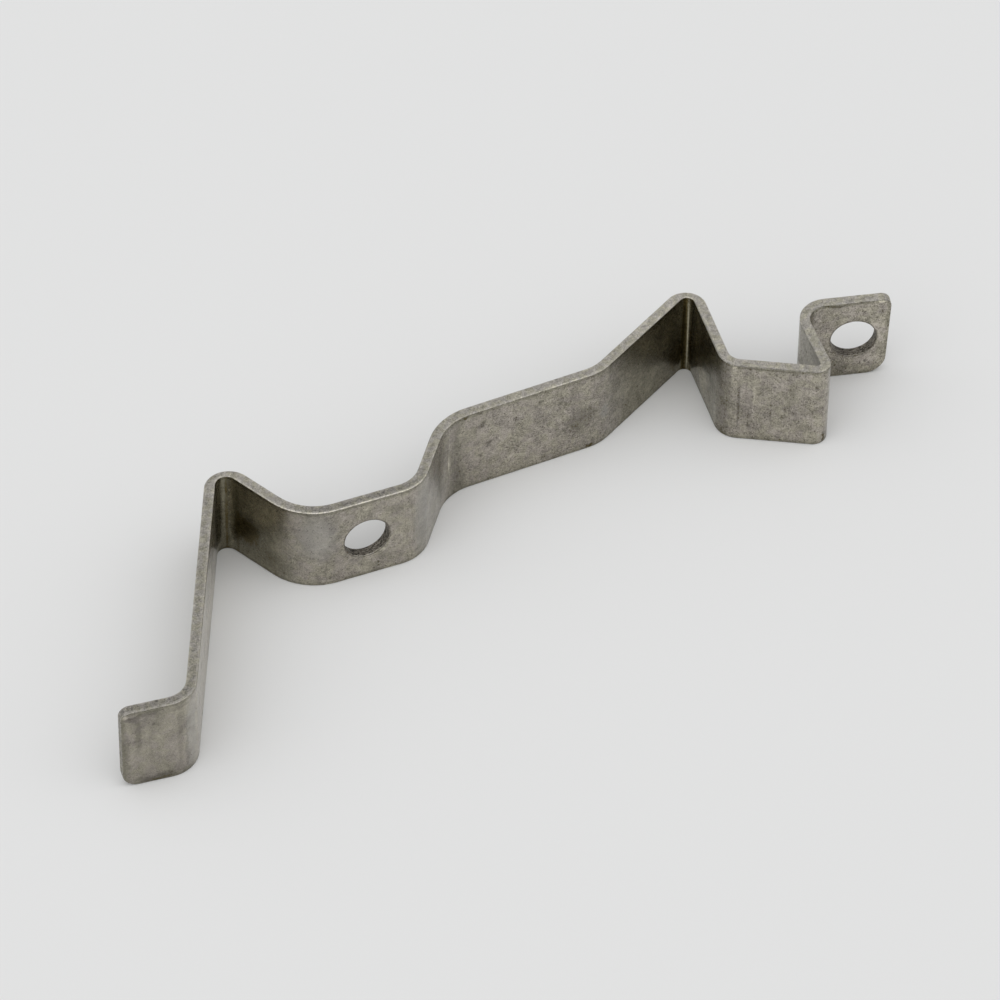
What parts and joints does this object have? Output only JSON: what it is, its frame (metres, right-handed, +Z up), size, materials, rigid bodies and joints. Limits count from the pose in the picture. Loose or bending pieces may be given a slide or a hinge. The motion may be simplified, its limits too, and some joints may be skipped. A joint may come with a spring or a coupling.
{
  "type": "folded strip bracket",
  "caption": "Bracket folded from one steel strip, with rounded end tabs, a hole in its seat flat and a hole in one end tab.",
  "frame": {"origin": "middle of the footprint, on the sheared edge that the strip stands on", "axes": "+X along the seat flat, from the first tab towards the last tab; +Y to the side the folds rise to; +Z up along the fold lines, across the strip's width"},
  "size_m": [0.172, 0.0632, 0.019],
  "materials": {
    "steel": "tumbled, lightly stained bare steel"
  },
  "bodies": {
    "root": {"bracket": "steel"}
  },
  "joints": []
}
